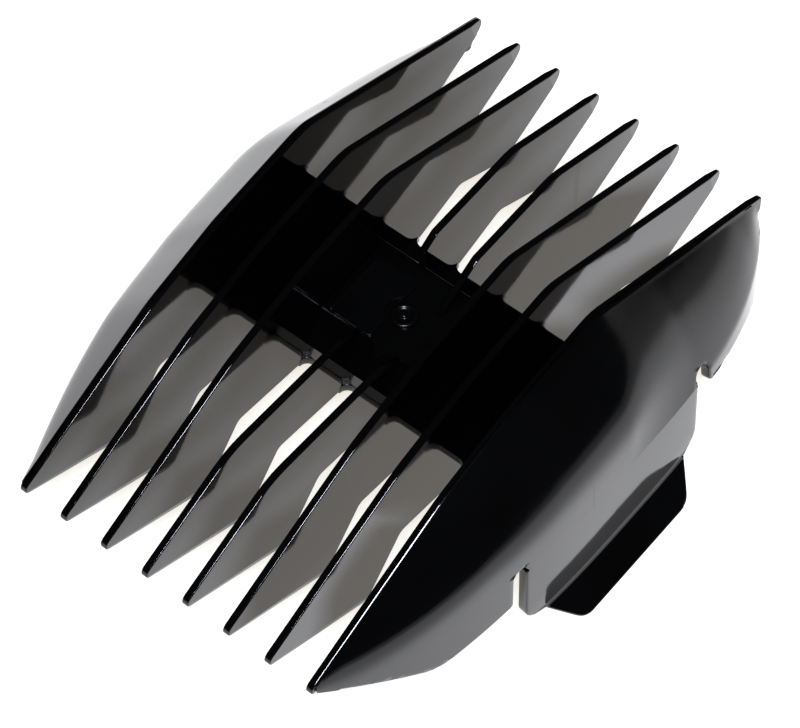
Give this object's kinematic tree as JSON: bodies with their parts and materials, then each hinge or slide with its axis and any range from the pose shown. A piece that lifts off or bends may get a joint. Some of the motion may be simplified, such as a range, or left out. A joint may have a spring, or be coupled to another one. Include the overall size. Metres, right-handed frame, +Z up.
{
  "type": "clipper guard comb",
  "caption": "Two-ended clip-on guard comb with a row of upright tooth plates, bulging side cheeks and a sprung snap arm with a finger ledge on each side.",
  "frame": {"origin": "middle of the underside of the cross web, where the clipper head seats", "axes": "+X across the tooth plates towards the right cheek, +Y along the teeth towards the short rear tips, +Z up towards the skin side"},
  "size_m": [0.0578, 0.0737, 0.0307],
  "materials": {
    "tooth_plastic": "gloss",
    "web_plastic": "gloss",
    "cheek_plastic": "gloss",
    "arm_plastic": "gloss",
    "ledge_plastic": "satin",
    "platform_plastic": "satin",
    "mark_plastic": "spark textured"
  },
  "bodies": {
    "comb_body": {"cross_web": "web_plastic", "mark_platform": "platform_plastic", "blank_mark_plate": "mark_plastic", "gate_boss": "mark_plastic", "tooth_plate_1": "tooth_plastic", "tooth_plate_2": "tooth_plastic", "tooth_plate_3": "tooth_plastic", "tooth_plate_4_front": "tooth_plastic", "tooth_plate_4_rear": "tooth_plastic", "tooth_plate_5_front": "tooth_plastic", "tooth_plate_5_rear": "tooth_plastic", "tooth_plate_6": "tooth_plastic", "tooth_plate_7": "tooth_plastic", "tooth_plate_8": "tooth_plastic", "left_cheek": "cheek_plastic", "right_cheek": "cheek_plastic"},
    "left_arm": {"left_snap_arm": "arm_plastic", "left_finger_ledge": "ledge_plastic", "left_catch": "ledge_plastic"},
    "right_arm": {"right_snap_arm": "arm_plastic", "right_finger_ledge": "ledge_plastic", "right_catch": "ledge_plastic"}
  },
  "joints": [
    {"name": "left_arm_flex", "type": "hinge", "parent": "comb_body", "child": "left_arm", "pos_m": [-0.0252, 0, 0], "axis": [0, 1, 0], "range_deg": [0, 5], "stiffness_Nm_per_rad": 0.6},
    {"name": "right_arm_flex", "type": "hinge", "parent": "comb_body", "child": "right_arm", "pos_m": [0.0252, 0, 0], "axis": [0, -1, 0], "range_deg": [0, 5], "stiffness_Nm_per_rad": 0.6}
  ]
}
